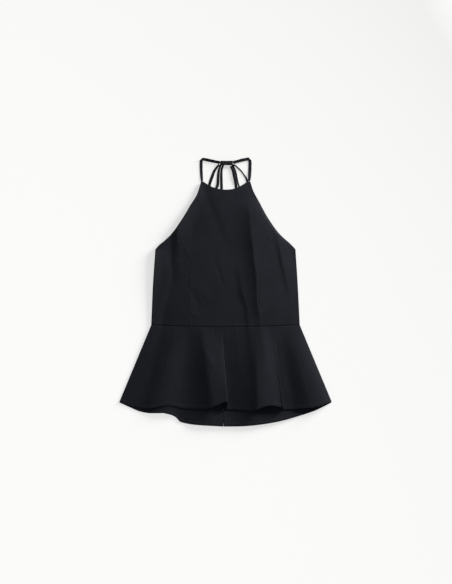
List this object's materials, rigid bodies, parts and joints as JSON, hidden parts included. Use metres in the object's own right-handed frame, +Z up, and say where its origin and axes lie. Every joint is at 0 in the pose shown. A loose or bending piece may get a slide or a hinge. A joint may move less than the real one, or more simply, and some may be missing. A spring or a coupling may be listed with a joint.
{
  "type": "halter neck top",
  "caption": "Sleeveless halter neck top with princess seams, a flared peplum and a bow tied behind the neck, laid flat.",
  "frame": {"origin": "on the surface under the middle of the laid top's bounding box", "axes": "+Y from the hem to the neck, +Z up from the surface through the front, +X to the right seen from above"},
  "size_m": [0.56, 0.713, 0.0187],
  "materials": {
    "front_cloth": "matte black plain-weave cloth",
    "back_cloth": "matte black plain-weave cloth, its inside face showing below the front's hem",
    "tie_cloth": "matte black strips, folded and stitched"
  },
  "bodies": {
    "root": {"bodice_front_center": "front_cloth", "bodice_front_side_left": "front_cloth", "bodice_front_side_right": "front_cloth", "peplum_front": "front_cloth", "bodice_back_left": "back_cloth", "bodice_back_right": "back_cloth", "peplum_back_left": "back_cloth", "peplum_back_right": "back_cloth", "strap_left": "tie_cloth", "strap_right": "tie_cloth", "tie_knot": "tie_cloth", "bow_loop_left": "tie_cloth", "bow_loop_right": "tie_cloth", "tie_tail_left": "tie_cloth", "tie_tail_right": "tie_cloth"}
  },
  "joints": []
}
